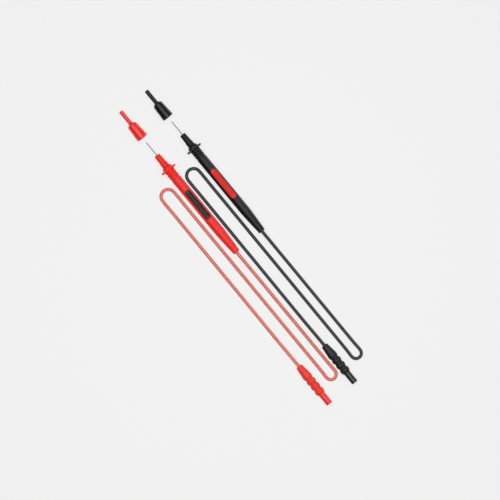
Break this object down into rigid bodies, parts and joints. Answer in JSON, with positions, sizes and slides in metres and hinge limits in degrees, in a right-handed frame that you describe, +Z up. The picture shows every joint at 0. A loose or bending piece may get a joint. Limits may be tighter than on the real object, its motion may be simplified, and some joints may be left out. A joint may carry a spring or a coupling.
{
  "type": "needle-point test leads",
  "caption": "Red and black needle-point test leads with pull-off tip caps, screw chucks, thin looped cables and shrouded safety plugs.",
  "frame": {"origin": "on the surface that the leads lie on, under the middle of the two probes with their caps", "axes": "+X along the probes from the needles to the cables, +Y from the red lead to the black one, +Z up from the surface"},
  "size_m": [0.4223, 0.0837, 0.014],
  "materials": {
    "black_abs": "satin moulded",
    "red_abs": "satin moulded",
    "black_soft_vinyl": "soft moulded",
    "red_soft_vinyl": "soft moulded",
    "black_cable_jacket": "smooth extruded",
    "red_cable_jacket": "smooth extruded",
    "black_grip_rubber": "soft, finely ridged",
    "red_grip_rubber": "soft, finely ridged",
    "needle_steel": "ground",
    "brass": "turned",
    "copper": "stranded copper",
    "nickel_plate": "nickel plated",
    "shrink_sleeve": "shrunk tubing"
  },
  "bodies": {
    "black_lead": {"black_contact_rod": "brass", "black_handle": "black_abs", "black_grip_pad": "red_grip_rubber", "black_rear_bush": "black_soft_vinyl", "black_joint_sleeve": "shrink_sleeve", "black_wire_ends": "black_cable_jacket", "black_copper_core": "copper", "black_cable": "black_cable_jacket", "black_plug_boot": "black_soft_vinyl", "black_plug_shroud": "black_abs", "black_plug_pin": "nickel_plate", "black_pin_spring": "nickel_plate"},
    "black_chuck": {"black_collet": "brass", "black_needle": "needle_steel"},
    "black_nose": {"black_nose_nut": "black_abs"},
    "black_cap": {"black_tip_cap": "black_abs"},
    "red_lead": {"red_contact_rod": "brass", "red_handle": "red_abs", "red_grip_pad": "black_grip_rubber", "red_rear_bush": "red_soft_vinyl", "red_joint_sleeve": "shrink_sleeve", "red_wire_ends": "red_cable_jacket", "red_copper_core": "copper", "red_cable": "red_cable_jacket", "red_plug_boot": "red_soft_vinyl", "red_plug_shroud": "red_abs", "red_plug_pin": "nickel_plate", "red_pin_spring": "nickel_plate"},
    "red_chuck": {"red_collet": "brass", "red_needle": "needle_steel"},
    "red_nose": {"red_nose_nut": "red_abs"},
    "red_cap": {"red_tip_cap": "red_abs"}
  },
  "joints": [
    {"name": "black_cap_slide", "type": "slide", "parent": "black_lead", "child": "black_cap", "axis": [1, 0, 0], "range_m": [0, 0.0432]},
    {"name": "black_chuck_feed", "type": "slide", "parent": "black_lead", "child": "black_chuck", "axis": [-1, 0, 0], "range_m": [0, 0.0021]},
    {"name": "black_nose_screw", "type": "hinge", "parent": "black_chuck", "child": "black_nose", "pos_m": [-0.04065, 0.0195, 0.007], "axis": [-1, 0, 0], "range_deg": [0, 1080]},
    {"name": "red_lift", "type": "slide", "parent": "black_lead", "child": "red_lead", "axis": [0, 0, 1], "range_m": [0, 0.05]},
    {"name": "red_cap_slide", "type": "slide", "parent": "red_lead", "child": "red_cap", "axis": [1, 0, 0], "range_m": [0, 0.0432]},
    {"name": "red_chuck_feed", "type": "slide", "parent": "red_lead", "child": "red_chuck", "axis": [-1, 0, 0], "range_m": [0, 0.0021]},
    {"name": "red_nose_screw", "type": "hinge", "parent": "red_chuck", "child": "red_nose", "pos_m": [-0.04065, -0.0195, 0.007], "axis": [-1, 0, 0], "range_deg": [0, 1080]}
  ],
  "couplings": [
    {"joint": "black_nose_screw", "follows": "black_chuck_feed", "rad_per_m": 8975.9},
    {"joint": "red_nose_screw", "follows": "red_chuck_feed", "rad_per_m": 8975.9}
  ]
}
